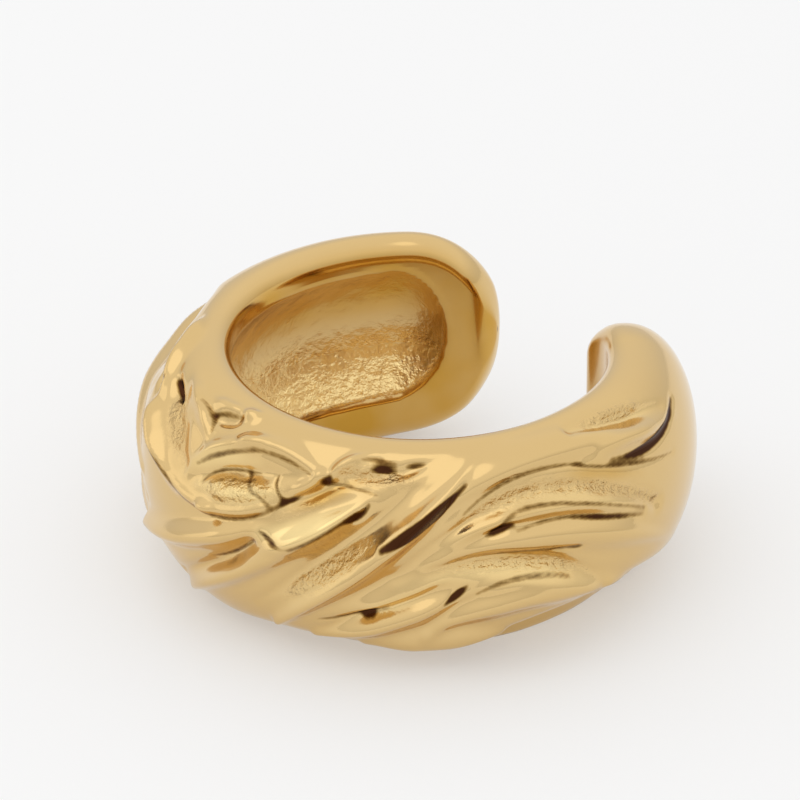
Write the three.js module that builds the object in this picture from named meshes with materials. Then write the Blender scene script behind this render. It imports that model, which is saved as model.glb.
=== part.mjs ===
// Ear cuff: one open ring of cast brass, plated in gold, that clips on the rim of the ear.
// It lies on its side. The ring's axis is +Z, the origin is on that axis at the level of the
// surface it lies on, and the gap between the two tips opens to the right and to the back.
// Lengths are millimetres, angles are degrees, and a share runs from 0 to 1.
import * as THREE from "three";

// Driving dimensions of the ring.
const BORE_RADIUS = 5.1; // the round space that holds the rim of the ear
const BAND_THICKNESS = 2.5; // from the bore to the outer face
const BAND_HEIGHT = 6.45; // along the axis
const RIM_ROUND = 0.5; // radius of the two rounded edges of the bore
const BULGE_POWER = 2.05; // 2 gives the outer face an elliptic section, more a squarer one
const FOOT_FLAT = 0.1; // ground off the lower rim, so that the ring lies still
const GAP_DIRECTION = 51.5; // middle of the gap, from +X towards +Y
const GAP_ANGLE = 34;

// Driving dimensions of the two tips, measured along the band from its end.
const NARROW_TIP = { taper: 2.8, taperPower: 2.1, round: 1.2 };
const BROAD_TIP = { taper: 2.9, taperPower: 2.4, round: 0.9 };

// Driving dimensions of the long hollow in the back of the band.
const HOLLOW_HEIGHT = 4.2;
const HOLLOW_DEPTH = 0.85; // at its middle: it is a bowl in section
const HOLLOW_LIFT = 0.25; // its middle above the middle of the band
const HOLLOW_ENDS = { narrow: 2.6, broad: 1.4 }; // solid metal left at each tip

// Fineness of the mesh.
const STATIONS = 116; // along the band, between the tips
const FOLDED = { from: 0.13, to: 0.68, times: 1.8 }; // share with its stations closer together
const TIP_STATIONS = 9; // in each tip
const FACE_STEPS = 30; // up the outer face
const STROKE_STEPS = 14; // along the line of a fold
const CURVE_STEPS = 8; // to one step of the outer face, when its curve is measured
const HOLLOW_STEPS = 8; // down the hollow, from edge to edge
const SAMPLE_SHARES = [0.25, 0.5, 0.25]; // weights of the relief before, at and after a point
const EDGE_TURNS = [30, 60, 90]; // where a rounded edge has its points

// Most that a rounded edge takes of a tip's thickness or height, and the hollow of the bore side.
const EDGE_SHARE = 0.45;
const HOLLOW_ROOM = 0.95;

// Form of the band. Rows run from the narrow tip, at 0, to the broad tip, at 1. The other
// columns are shares: of BAND_THICKNESS, and of BAND_HEIGHT for the two rims.
const FORM = [
  { at: 0.0, thick: 0.96, top: 0.88, foot: 0.12 },
  { at: 0.1, thick: 0.98, top: 0.97, foot: 0.03 },
  { at: 0.25, thick: 0.98, top: 0.99, foot: 0.02 },
  { at: 0.4, thick: 0.93, top: 0.99, foot: 0.0 },
  { at: 0.6, thick: 1.02, top: 1.0, foot: 0.0 },
  { at: 0.72, thick: 0.92, top: 1.0, foot: 0.0 },
  { at: 0.85, thick: 0.84, top: 1.0, foot: 0.0 },
  { at: 1.0, thick: 0.7, top: 1.0, foot: 0.08 },
];

// Sizes that the cast relief of the outer face follows.
const FOLD_WIDTH = 1.0; // reach of a fold to one side of its line
const FOLD_HEIGHT = 0.6; // how far a fold stands out
const FOLD_LEAST = 0.4; // narrowest side of a fold that the mesh can hold
const FOLD_SOFTNESS = 0.18; // how far around a point the relief is averaged
const FOLD_RUN_OUT = 0.4; // share of its length in which a fold grows from its end
const RIM_LAND = { top: 0.045, foot: 0.03 }; // plain border at each rim, shares of the face

// The relief, one row for a fold, ridge or hollow. Each runs left to right, as seen from the
// front, from one point over a second to a third: [share of the band, share up the outer face].
// The reach above and below the line is in shares of FOLD_WIDTH, and the raise in shares of
// FOLD_HEIGHT, less than 0 in a hollow. At its start and end a fold is pointed at 0, blunt at 1.
const FOLDS = [
  // Broad dents that give the ring its outline.
  { from: [0.34, 0.05], via: [0.26, 0.14], to: [0.12, 0.16],
    above: 1.7, below: 1.8, raise: -1.25, start: 0.9, end: 0.3 },
  { from: [0.56, 0.04], via: [0.45, 0.06], to: [0.33, 0.06],
    above: 1.5, below: 1.5, raise: -0.55, start: 0.5, end: 1 },
  { from: [0.78, 0.72], via: [0.72, 0.8], to: [0.66, 0.76],
    above: 1.4, below: 1.8, raise: -0.5, start: 0.3, end: 0.5 },
  // Right arm: shoulder, upper channel, its lower lip and the smooth fold under it.
  { from: [0.4, 0.6], via: [0.3, 0.85], to: [0.15, 0.68],
    above: 1.1, below: 0.14, raise: 0.45, start: 0.3, end: 0 },
  { from: [0.387, 0.57], via: [0.298, 0.765], to: [0.205, 0.54],
    above: 0.4, below: 0.4, raise: -0.4, start: 0.2, end: 0.8 },
  { from: [0.395, 0.53], via: [0.295, 0.695], to: [0.18, 0.43],
    above: 0.3, below: 0.16, raise: 0.45, start: 0.1, end: 0 },
  { from: [0.37, 0.55], via: [0.282, 0.6], to: [0.16, 0.27],
    above: 0.35, below: 0.7, raise: 0.45, start: 0.1, end: 0.1 },
  // Lower channel of the right arm, its lip and the belly under it.
  { from: [0.4, 0.49], via: [0.322, 0.53], to: [0.256, 0.35],
    above: 0.55, below: 0.34, raise: -0.5, start: 0.2, end: 0.5 },
  { from: [0.372, 0.38], via: [0.315, 0.475], to: [0.25, 0.355],
    above: 0.2, below: 0.35, raise: 0.4, start: 0.1, end: 0 },
  { from: [0.378, 0.28], via: [0.312, 0.415], to: [0.23, 0.29],
    above: 0.5, below: 0.8, raise: 0.75, start: 0.4, end: 0.3 },
  { from: [0.42, 0.17], via: [0.375, 0.225], to: [0.328, 0.22],
    above: 0.7, below: 0.8, raise: 0.5, start: 0.4, end: 0.6 },
  // Main crest across the front, with the channels on both sides of it.
  { from: [0.48, 0.24], via: [0.402, 0.61], to: [0.34, 0.905],
    above: 0.5, below: 0.4, raise: 0.95, start: 0.5, end: 0.1 },
  { from: [0.493, 0.305], via: [0.431, 0.6], to: [0.366, 0.9],
    above: 0.42, below: 0.42, raise: -0.35, start: 0.3, end: 0.2 },
  { from: [0.447, 0.34], via: [0.389, 0.54], to: [0.33, 0.79],
    above: 0.35, below: 0.35, raise: -0.32, start: 0.1, end: 0.1 },
  { from: [0.44, 0.335], via: [0.398, 0.415], to: [0.36, 0.53],
    above: 0.25, below: 0.22, raise: 0.35, start: 0, end: 0 },
  { from: [0.45, 0.245], via: [0.402, 0.385], to: [0.352, 0.51],
    above: 0.32, below: 0.25, raise: -0.3, start: 0.2, end: 0.1 },
  { from: [0.455, 0.21], via: [0.398, 0.352], to: [0.342, 0.49],
    above: 0.22, below: 0.7, raise: 0.65, start: 0.4, end: 0.1 },
  // Fold left of the main crest: its crisp edge, the facet that rises to it and the hollow above.
  { from: [0.565, 0.19], via: [0.475, 0.53], to: [0.405, 0.82],
    above: 0.5, below: 0.42, raise: 0.65, start: 0.6, end: 0.2 },
  { from: [0.487, 0.565], via: [0.453, 0.62], to: [0.414, 0.765],
    above: 0.7, below: 0.32, raise: 0.4, start: 0.8, end: 0.3 },
  { from: [0.497, 0.625], via: [0.463, 0.74], to: [0.415, 0.86],
    above: 0.3, below: 0.25, raise: -0.4, start: 0.2, end: 0.2 },
  { from: [0.575, 0.23], via: [0.517, 0.42], to: [0.482, 0.56],
    above: 0.35, below: 0.3, raise: -0.5, start: 0.4, end: 0.3 },
  { from: [0.507, 0.46], via: [0.489, 0.525], to: [0.473, 0.57],
    above: 0.16, below: 0.2, raise: 0.3, start: 0.3, end: 0.3 },
  { from: [0.437, 0.85], via: [0.405, 0.86], to: [0.352, 0.94],
    above: 0.25, below: 0.3, raise: -0.45, start: 0.4, end: 0 },
  { from: [0.444, 0.805], via: [0.436, 0.875], to: [0.412, 0.93],
    above: 0.2, below: 0.18, raise: 0.6, start: 0.4, end: 0.2 },
  // Lobe at the lower left.
  { from: [0.61, 0.34], via: [0.535, 0.49], to: [0.478, 0.635],
    above: 0.45, below: 0.5, raise: 0.85, start: 0.7, end: 0.1 },
  // The leaf on the left: its lower lip, its upper roll, and the hollow and the mound inside.
  { from: [0.612, 0.7], via: [0.575, 0.61], to: [0.528, 0.594],
    above: 0.28, below: 0.14, raise: 0.45, start: 0.3, end: 0.9 },
  { from: [0.535, 0.592], via: [0.49, 0.66], to: [0.45, 0.8],
    above: 0.28, below: 0.15, raise: 0.5, start: 0.8, end: 0.3 },
  { from: [0.558, 0.68], via: [0.53, 0.8], to: [0.503, 0.855],
    above: 0.45, below: 0.18, raise: 0.42, start: 0.1, end: 0.9 },
  { from: [0.513, 0.85], via: [0.484, 0.866], to: [0.453, 0.825],
    above: 0.45, below: 0.18, raise: 0.42, start: 0.9, end: 0.7 },
  { from: [0.477, 0.73], via: [0.46, 0.785], to: [0.45, 0.83],
    above: 0.2, below: 0.3, raise: 0.35, start: 0.1, end: 0.9 },
  { from: [0.55, 0.665], via: [0.512, 0.76], to: [0.467, 0.8],
    above: 0.45, below: 0.5, raise: -0.45, start: 0.5, end: 0.3 },
  { from: [0.535, 0.62], via: [0.507, 0.69], to: [0.478, 0.735],
    above: 0.35, below: 0.3, raise: 0.35, start: 0.3, end: 0.3 },
  // Left of the leaf: the bulge at the side, the valley beside it and the ridge that borders it.
  { from: [0.638, 0.77], via: [0.607, 0.685], to: [0.575, 0.62],
    above: 0.5, below: 0.3, raise: 0.6, start: 0.3, end: 0.3 },
  { from: [0.632, 0.885], via: [0.59, 0.77], to: [0.562, 0.68],
    above: 0.8, below: 0.75, raise: -0.42, start: 0.2, end: 0.5 },
  { from: [0.625, 0.925], via: [0.57, 0.878], to: [0.546, 0.79],
    above: 0.16, below: 0.4, raise: 0.4, start: 0, end: 0.3 },
  { from: [0.618, 0.85], via: [0.61, 0.835], to: [0.602, 0.82],
    above: 0.22, below: 0.22, raise: -0.45, start: 0.6, end: 0.6 },
  { from: [0.555, 0.86], via: [0.54, 0.885], to: [0.524, 0.92],
    above: 0.24, below: 0.22, raise: -0.5, start: 0.5, end: 0 },
  { from: [0.575, 0.907], via: [0.55, 0.922], to: [0.526, 0.935],
    above: 0.2, below: 0.14, raise: 0.3, start: 0, end: 0.4 },
  { from: [0.53, 0.94], via: [0.526, 0.942], to: [0.522, 0.945],
    above: 0.2, below: 0.2, raise: 0.35, start: 1, end: 1 },
  // Narrow tip: the dimple on top and the band under it.
  { from: [0.262, 0.92], via: [0.215, 0.885], to: [0.165, 0.81],
    above: 0.3, below: 0.35, raise: -0.4, start: 0.7, end: 0.5 },
  { from: [0.268, 0.8], via: [0.218, 0.8], to: [0.155, 0.75],
    above: 0.45, below: 0.16, raise: 0.5, start: 0.1, end: 0.2 },
  // Left shoulder and the back, where the folds fade towards the broad tip.
  { from: [0.71, 0.985], via: [0.655, 0.91], to: [0.615, 0.72],
    above: 0.4, below: 0.3, raise: 0.5, start: 0, end: 0.2 },
  { from: [0.69, 0.91], via: [0.65, 0.84], to: [0.615, 0.66],
    above: 0.3, below: 0.4, raise: -0.5, start: 0, end: 0.2 },
  { from: [0.8, 0.84], via: [0.73, 0.64], to: [0.62, 0.5],
    above: 0.6, below: 0.3, raise: 0.7, start: 0, end: 0.3 },
  { from: [0.79, 0.7], via: [0.72, 0.53], to: [0.61, 0.42],
    above: 0.4, below: 0.4, raise: -0.6, start: 0, end: 0.3 },
  { from: [0.85, 0.62], via: [0.75, 0.42], to: [0.6, 0.3],
    above: 0.6, below: 0.4, raise: 0.7, start: 0, end: 0.3 },
  { from: [0.84, 0.46], via: [0.76, 0.3], to: [0.64, 0.18],
    above: 0.4, below: 0.4, raise: -0.6, start: 0, end: 0 },
  { from: [0.9, 0.44], via: [0.82, 0.28], to: [0.7, 0.15],
    above: 0.7, below: 0.7, raise: 0.6, start: 0, end: 0.2 },
];

const RAD = Math.PI / 180;
const BAND_ANGLE = 360 - GAP_ANGLE;
const MIDDLE_RADIUS = BORE_RADIUS + BAND_THICKNESS / 2;
const BAND_LENGTH = MIDDLE_RADIUS * BAND_ANGLE * RAD;
const OUTER_LENGTH = (BORE_RADIUS + BAND_THICKNESS) * BAND_ANGLE * RAD;
const BULGE = BAND_THICKNESS - RIM_ROUND;
const FACE_LENGTH = Math.PI * Math.sqrt(((BAND_HEIGHT / 2) ** 2 + BULGE ** 2) / 2);

const clamp = (x, low, high) => Math.min(high, Math.max(low, x));
const smooth = (x) => x * x * (3 - 2 * x);

// The row of FORM at a share of the band, eased from one row to the next.
function formAt(share) {
  const next = clamp(
    FORM.findIndex((row) => row.at >= share),
    1,
    FORM.length - 1,
  );
  const [a, b] = [FORM[next - 1], FORM[next]];
  const t = smooth(clamp((share - a.at) / (b.at - a.at), 0, 1));
  const mix = (column) => a[column] + (b[column] - a[column]) * t;
  return { thick: mix("thick"), top: mix("top"), foot: mix("foot") };
}

// How much of its full size a rounded end has at a distance from its tip.
function taper(distance, length, power) {
  if (distance >= length) return 1;
  return (1 - (1 - distance / length) ** power) ** (1 / power);
}

// Where the section lies at a share of the band: its bore side, thickness, middle and half height.
function sectionAt(share) {
  const form = formAt(share);
  const fromNarrow = share * BAND_LENGTH;
  const fromBroad = (1 - share) * BAND_LENGTH;
  const round =
    taper(fromNarrow, NARROW_TIP.round, 2) *
    taper(fromBroad, BROAD_TIP.round, 2);
  const shrink =
    taper(fromNarrow, NARROW_TIP.taper, NARROW_TIP.taperPower) *
    taper(fromBroad, BROAD_TIP.taper, BROAD_TIP.taperPower);
  const full = form.thick * BAND_THICKNESS;
  const thick = full * round;
  return {
    bore: BORE_RADIUS + (full - thick) / 2,
    thick,
    middle: ((form.top + form.foot) / 2) * BAND_HEIGHT,
    half: ((form.top - form.foot) / 2) * BAND_HEIGHT * shrink,
  };
}

// Points [radius, height] up the outer face, at equal steps from the lower rim to the upper one.
function outerFace({ bore, thick, middle, half }, edge) {
  const fine = [];
  const last = CURVE_STEPS * FACE_STEPS;
  for (let i = 0; i <= last; i++) {
    const a = (i / last - 0.5) * Math.PI;
    const out = Math.max(0, Math.cos(a)) ** (2 / BULGE_POWER);
    const up = Math.sign(a) * Math.abs(Math.sin(a)) ** (2 / BULGE_POWER);
    fine.push([bore + edge + (thick - edge) * out, middle + half * up]);
  }
  const length = [0];
  for (let i = 1; i <= last; i++) {
    const [a, b] = [fine[i - 1], fine[i]];
    length.push(length[i - 1] + Math.hypot(b[0] - a[0], b[1] - a[1]));
  }
  const points = [];
  let i = 1;
  for (let step = 0; step <= FACE_STEPS; step++) {
    const want = (length[last] * step) / FACE_STEPS;
    while (i < last && length[i] < want) i++;
    const t = clamp(
      (want - length[i - 1]) / (length[i] - length[i - 1] || 1),
      0,
      1,
    );
    const [a, b] = [fine[i - 1], fine[i]];
    points.push([a[0] + (b[0] - a[0]) * t, a[1] + (b[1] - a[1]) * t]);
  }
  return points;
}

// The line of a fold, as points in millimetres on the face rolled out flat.
function strokeOf({ from, via, to }) {
  const flat = ([along, up]) =>
    new THREE.Vector2(-along * OUTER_LENGTH, up * FACE_LENGTH);
  const [a, b, c] = [from, via, to].map(flat);
  const pull = b.clone().multiplyScalar(2).sub(a.clone().add(c).multiplyScalar(0.5));
  return new THREE.QuadraticBezierCurve(a, pull, c).getPoints(STROKE_STEPS);
}

// Where a point of the face lies by a fold's line: the share of the line, its distance from it,
// and whether it is on the upper side.
function nearest(line, point) {
  let best = { share: 0, distance: Infinity, above: true };
  for (let i = 1; i < line.length; i++) {
    const [a, b] = [line[i - 1], line[i]];
    const run = b.clone().sub(a);
    const reach = point.clone().sub(a);
    const t = clamp(reach.dot(run) / run.lengthSq(), 0, 1);
    const distance = reach.clone().sub(run.clone().multiplyScalar(t)).length();
    if (distance < best.distance) {
      const share = (i - 1 + t) / (line.length - 1);
      best = { share, distance, above: run.cross(reach) > 0 };
    }
  }
  return best;
}

const STROKES = FOLDS.map((fold) => {
  const line = strokeOf(fold);
  const reach = FOLD_WIDTH * Math.max(fold.above, fold.below, FOLD_LEAST / FOLD_WIDTH);
  const area = new THREE.Box2().setFromPoints(line).expandByScalar(reach);
  return { ...fold, line, area };
});

// Where the relief is averaged: two offsets on the face and a weight. The weights add up to 1.
const SAMPLES = SAMPLE_SHARES.flatMap((a, x) =>
  SAMPLE_SHARES.map((b, y) => [(x - 1) * FOLD_SOFTNESS, (y - 1) * FOLD_SOFTNESS, a * b]),
);

// How far the folds stand out at a point of the face rolled out flat.
function foldsAt(point) {
  const grow = (blunt, t) => blunt + (1 - blunt) * smooth(clamp(t / FOLD_RUN_OUT, 0, 1));
  let sum = 0;
  for (const fold of STROKES) {
    if (!fold.area.containsPoint(point)) continue;
    const { share, distance, above } = nearest(fold.line, point);
    const size = Math.min(grow(fold.start, share), grow(fold.end, 1 - share));
    const side = above ? fold.above : fold.below;
    const q = distance / Math.max(FOLD_LEAST, size * FOLD_WIDTH * side);
    if (q < 1) sum += fold.raise * FOLD_HEIGHT * size * (1 - q * q) ** 2;
  }
  return sum;
}

// The relief at a share of the band and a share up the face: the folds averaged around it.
function relief(along, up) {
  let sum = 0;
  for (const [x, y, weight] of SAMPLES) {
    const point = new THREE.Vector2(-along * OUTER_LENGTH + x, up * FACE_LENGTH + y);
    sum += foldsAt(point) * weight;
  }
  const fade = (share, land) => smooth(clamp(share / land, 0, 1));
  return sum * fade(1 - up, RIM_LAND.top) * fade(up, RIM_LAND.foot);
}

// The points of the outer face, moved out or in by the relief.
function castFace(section, edge, share) {
  const points = outerFace(section, edge);
  const size = section.half / (BAND_HEIGHT / 2);
  return points.map(([radius, height], i) => {
    if (i === 0 || i === FACE_STEPS) return [radius, height];
    const [a, b] = [points[i - 1], points[i + 1]];
    const length = Math.hypot(b[0] - a[0], b[1] - a[1]) || 1;
    const out = relief(share, i / FACE_STEPS) * Math.min(1, size);
    return [
      radius + (out * (b[1] - a[1])) / length,
      height - (out * (b[0] - a[0])) / length,
    ];
  });
}

// How deep the hollow is at a point of the bore: length along the band, height over its middle.
function hollowDepth(along, up) {
  const half = HOLLOW_HEIGHT / 2;
  const start = HOLLOW_ENDS.narrow + half;
  const end = BAND_LENGTH - HOLLOW_ENDS.broad - half;
  const past = Math.max(0, start - along, along - end);
  return HOLLOW_DEPTH * Math.max(0, 1 - (past ** 2 + up ** 2) / half ** 2);
}

// Heights over the middle of the band at which the inner face has its points: they go from one
// edge of the hollow to the other, and close up where the band gets low.
function innerHeights(straight) {
  const room = Math.min(1, (HOLLOW_ROOM * straight) / (HOLLOW_HEIGHT / 2 + HOLLOW_LIFT));
  const heights = [];
  for (let i = 0; i <= HOLLOW_STEPS; i += 1) {
    heights.push((HOLLOW_HEIGHT * (0.5 - i / HOLLOW_STEPS) + HOLLOW_LIFT) * room);
  }
  return heights;
}

// Points [radius, height] down the bore side, from below the upper rim to above the lower one.
function innerFace(section, edge, share) {
  const { bore, middle, half } = section;
  const straight = half - edge;
  const points = [];
  for (const turn of EDGE_TURNS) {
    const a = turn * RAD;
    points.push([
      bore + edge - edge * Math.sin(a),
      middle + straight + edge * Math.cos(a),
    ]);
  }
  for (const height of innerHeights(straight)) {
    const depth = hollowDepth(share * BAND_LENGTH, height - HOLLOW_LIFT);
    points.push([bore + depth, middle + height]);
  }
  for (const turn of EDGE_TURNS.toReversed()) {
    const a = turn * RAD;
    points.push([
      bore + edge - edge * Math.sin(a),
      middle - straight - edge * Math.cos(a),
    ]);
  }
  return points;
}

// A share of the band from an even share: the stations are closer where the band is folded.
function spread(even) {
  const { from, to, times } = FOLDED;
  const extra = (to - from) * (times - 1);
  const want = even * (1 + extra);
  if (want < from) return want;
  return Math.max(Math.min(to, from + (want - from) / times), want - extra);
}

// Shares of the band at which it has a section, close together in the tips.
function stations() {
  const shares = [];
  const narrow = NARROW_TIP.taper / BAND_LENGTH;
  const broad = BROAD_TIP.taper / BAND_LENGTH;
  for (let i = 1; i < TIP_STATIONS; i++)
    shares.push(narrow * (1 - Math.cos((i / TIP_STATIONS) * 90 * RAD)));
  for (let i = 0; i <= STATIONS; i++)
    shares.push(narrow + (1 - narrow - broad) * spread(i / STATIONS));
  for (let i = TIP_STATIONS - 1; i > 0; i--)
    shares.push(1 - broad * (1 - Math.cos((i / TIP_STATIONS) * 90 * RAD)));
  return shares;
}

// A point of the ring from its share of the band, its radius and its height.
function place(share, radius, height) {
  const turn = (GAP_DIRECTION - GAP_ANGLE / 2 - share * BAND_ANGLE) * RAD;
  return [
    radius * Math.cos(turn),
    radius * Math.sin(turn),
    Math.max(0, height - FOOT_FLAT),
  ];
}

function ringOfPoints(share) {
  const section = sectionAt(share);
  const edge = Math.min(RIM_ROUND, EDGE_SHARE * section.thick, EDGE_SHARE * section.half);
  const outline = [
    ...castFace(section, edge, share),
    ...innerFace(section, edge, share),
  ];
  return outline.map(([radius, height]) => place(share, radius, height));
}

function tipPoint(share) {
  const { bore, thick, middle } = sectionAt(share);
  return place(share, bore + thick / 2, middle);
}

// How flat two triangles lie that share the line from a to c: 1 where they are level.
function flatness(a, b, c, d) {
  const one = new THREE.Triangle(a, b, c).getNormal(new THREE.Vector3());
  const other = new THREE.Triangle(a, c, d).getNormal(new THREE.Vector3());
  return one.dot(other);
}

// The band's skin: rings of points joined by triangles, with one point closing each tip. Each
// four points are joined along the flatter diagonal, which keeps the ridges smooth.
function cuffGeometry() {
  const rings = stations().map(ringOfPoints);
  const size = rings[0].length;
  const positions = [tipPoint(0), ...rings.flat(), tipPoint(1)].flat();
  const last = positions.length / 3 - 1;
  const at = (ring, i) => 1 + ring * size + (i % size);
  const pointOf = (index) => new THREE.Vector3().fromArray(positions, 3 * index);
  const faces = [];
  for (let i = 0; i < size; i++) {
    faces.push(0, at(0, i + 1), at(0, i));
    faces.push(last, at(rings.length - 1, i), at(rings.length - 1, i + 1));
    for (let ring = 0; ring < rings.length - 1; ring++) {
      const [a, b] = [at(ring, i), at(ring, i + 1)];
      const [c, d] = [at(ring + 1, i + 1), at(ring + 1, i)];
      const [p, q, r, s] = [a, b, c, d].map(pointOf);
      if (flatness(p, q, r, s) > flatness(q, r, s, p)) faces.push(a, b, c, a, c, d);
      else faces.push(b, c, d, b, d, a);
    }
  }
  const geometry = new THREE.BufferGeometry();
  geometry.setAttribute(
    "position",
    new THREE.Float32BufferAttribute(positions, 3),
  );
  geometry.setIndex(faces);
  geometry.computeVertexNormals();
  return geometry;
}

const gold = new THREE.MeshStandardMaterial({
  color: 0xe0b866,
  roughness: 0.16,
  metalness: 1,
});

const cuff = new THREE.Mesh(cuffGeometry(), gold);
cuff.name = "cuff";

const group = new THREE.Group();
group.add(cuff);
export default group;
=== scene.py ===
"""Ear cuff: one open ring of cast brass, plated in gold, in a plain studio.

The ring lies on its side on a pale floor, its axis along Z. Lengths are metres and angles are
radians. Places on the band are shares from 0 to 1: along the band from the narrow tip to the
broad one, and up its outer face from the lower rim to the upper one.
"""

import math
from collections import namedtuple

import bpy
import numpy as np
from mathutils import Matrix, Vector, noise


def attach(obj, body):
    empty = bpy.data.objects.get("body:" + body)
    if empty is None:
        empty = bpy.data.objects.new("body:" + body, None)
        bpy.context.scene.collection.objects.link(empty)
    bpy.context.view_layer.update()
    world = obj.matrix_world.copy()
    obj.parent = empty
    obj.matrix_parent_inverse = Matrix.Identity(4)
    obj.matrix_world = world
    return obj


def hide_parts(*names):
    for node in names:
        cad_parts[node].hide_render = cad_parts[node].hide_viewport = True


bl_info = {
    "name": "Cast Ear Cuff",
    "version": (1, 0, 0),
    "blender": (4, 5, 0),
    "location": "View3D > Sidebar > Ear Cuff",
    "description": "Models a cast, gold-plated ear cuff and the studio it is shown in",
    "category": "Add Mesh",
}

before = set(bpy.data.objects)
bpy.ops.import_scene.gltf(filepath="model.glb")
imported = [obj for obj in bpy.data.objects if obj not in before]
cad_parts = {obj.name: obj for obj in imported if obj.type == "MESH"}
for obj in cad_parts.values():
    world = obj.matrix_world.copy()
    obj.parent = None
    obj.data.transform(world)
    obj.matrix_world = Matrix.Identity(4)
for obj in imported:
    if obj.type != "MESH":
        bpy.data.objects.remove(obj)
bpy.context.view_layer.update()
MM = 0.001

# Fineness of the mesh.
STATIONS = 500  # along the band, between the tips
TIP_STATIONS = 24  # in each tip
FACE_STEPS = 124  # up the outer face
EDGE_STEPS = 5  # round each edge of the bore
BORE_STEPS = 46  # down the bore side, between the two edges
SPLIT = 6  # parts that each face of the spun ring is divided into, both ways
STROKE_STEPS = 24  # along the line of a fold
CURVE_STEPS = 8  # to one step of the outer face, when its curve is measured
FOLDED = (0.13, 0.68)  # part of the band where the stations are closer together
FOLDED_TIMES = 1.6  # how many times closer

# The band and its relief.
ROUND = 2  # power of a taper that ends in a quarter circle
MOST_EDGE = 0.45  # share of the band that one rounded edge may take
LEAST_REACH = 0.3  # fold widths round its line in which a fold or crease is looked for
LEAST_STEP = 1e-12  # metres, so that no step up the face is nothing
FOLD_PASSES = (4, 4)  # times that the folds are softened, along the band and up its face
CREASE_PASSES = (2, 2)
CREASE_FADE = 0.15 * MM  # how far from its border, to both sides, a crease is measured
GROOVE_SPREAD = 0.7  # crease fades outside its border at which a crease's groove starts
THIN = 0.036  # half the width of most creases, in fold widths

# The cast skin. A fade starts this far above the middle of the band, in shares of its reach, and
# its reach is a share of the band's height.
Fade = namedtuple("Fade", "start reach")
ROUGH_PASSES = (6, 6)
CAST_RISE = 5  # the hollow has its cast skin from a fifth of its depth on
HOLLOW_ROUGH = 0.5  # all over the hollow
FLOOR_ROUGH = 0.4  # added low in it
FLOOR_FADE = Fade(0.35, 0.5)
LUMP = 2.2  # size of a lump that the mesh shows, in grains of the cast skin
LEAST_ROUGH = 0.05  # below it no lumps are made

# Patterns in the plate, and its painted shade and painted highlights.
SHADE_AND_HIGHLIGHT_PASSES = (4, 4)
PALE_FADE = Fade(0.6, 0.4)  # painted light: the plate in the hollow goes from deep painted shade high up to pale painted highlight low down over it
GRAIN_DETAIL = 3.0
GRAIN_ROUGHNESS = 0.6
CLOUD_SCALE = 0.12  # clouds in the painted shade and highlights, to one grain
CLOUD_DETAIL = 2.0
NOISE_RANGE = (0.3, 0.7)  # holds nearly all values of a noise
CLOUD_LEAST = 0.6  # share of the painted shade and highlights that is left between the clouds
WOBBLE = 0.04  # crease fades by which the grains shift the border of a crease
CREASE_SHADE_START = -0.38  # crease fades from its border, outside it, where its painted shade starts
COARSE_POWER = 3.0  # keeps the grains to the roughest places

# The studio. Places and widths are in millimetres, and the power of a lamp is in watts.
Lamp = namedtuple("Lamp", "name place width power")
LAMPS = (
    Lamp("top_light", (-40, -30, 125), 130, 0.013),
    Lamp("left_light", (-140, 30, 40), 90, 0.006),
)
LAMP_AIM = (0, 0, 3)
PICTURE_MIDDLE = (-0.516, 0.51, 4.03)
FLOOR_SIZE = 4.0  # metres
FLOOR_ROUGHNESS = 0.8
OVERHEAD = 0.6  # Z of the directions from which on the surround has its full strength
NEAR_CLIP = 0.01  # metres
FAR_CLIP = 20.0

# Form of the band. The columns are shares: of the band's thickness, and of its height for the
# upper and the lower rim.
Form = namedtuple("Form", "at thick top foot")
FORMS = (
    Form(0.0, 0.96, 0.88, 0.12),
    Form(0.1, 0.98, 0.97, 0.03),
    Form(0.25, 0.98, 0.99, 0.02),
    Form(0.4, 0.93, 0.99, 0.0),
    Form(0.6, 1.02, 1.0, 0.0),
    Form(0.72, 0.92, 1.0, 0.0),
    Form(0.85, 0.84, 1.0, 0.0),
    Form(1.0, 0.7, 1.0, 0.08),
)

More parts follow.
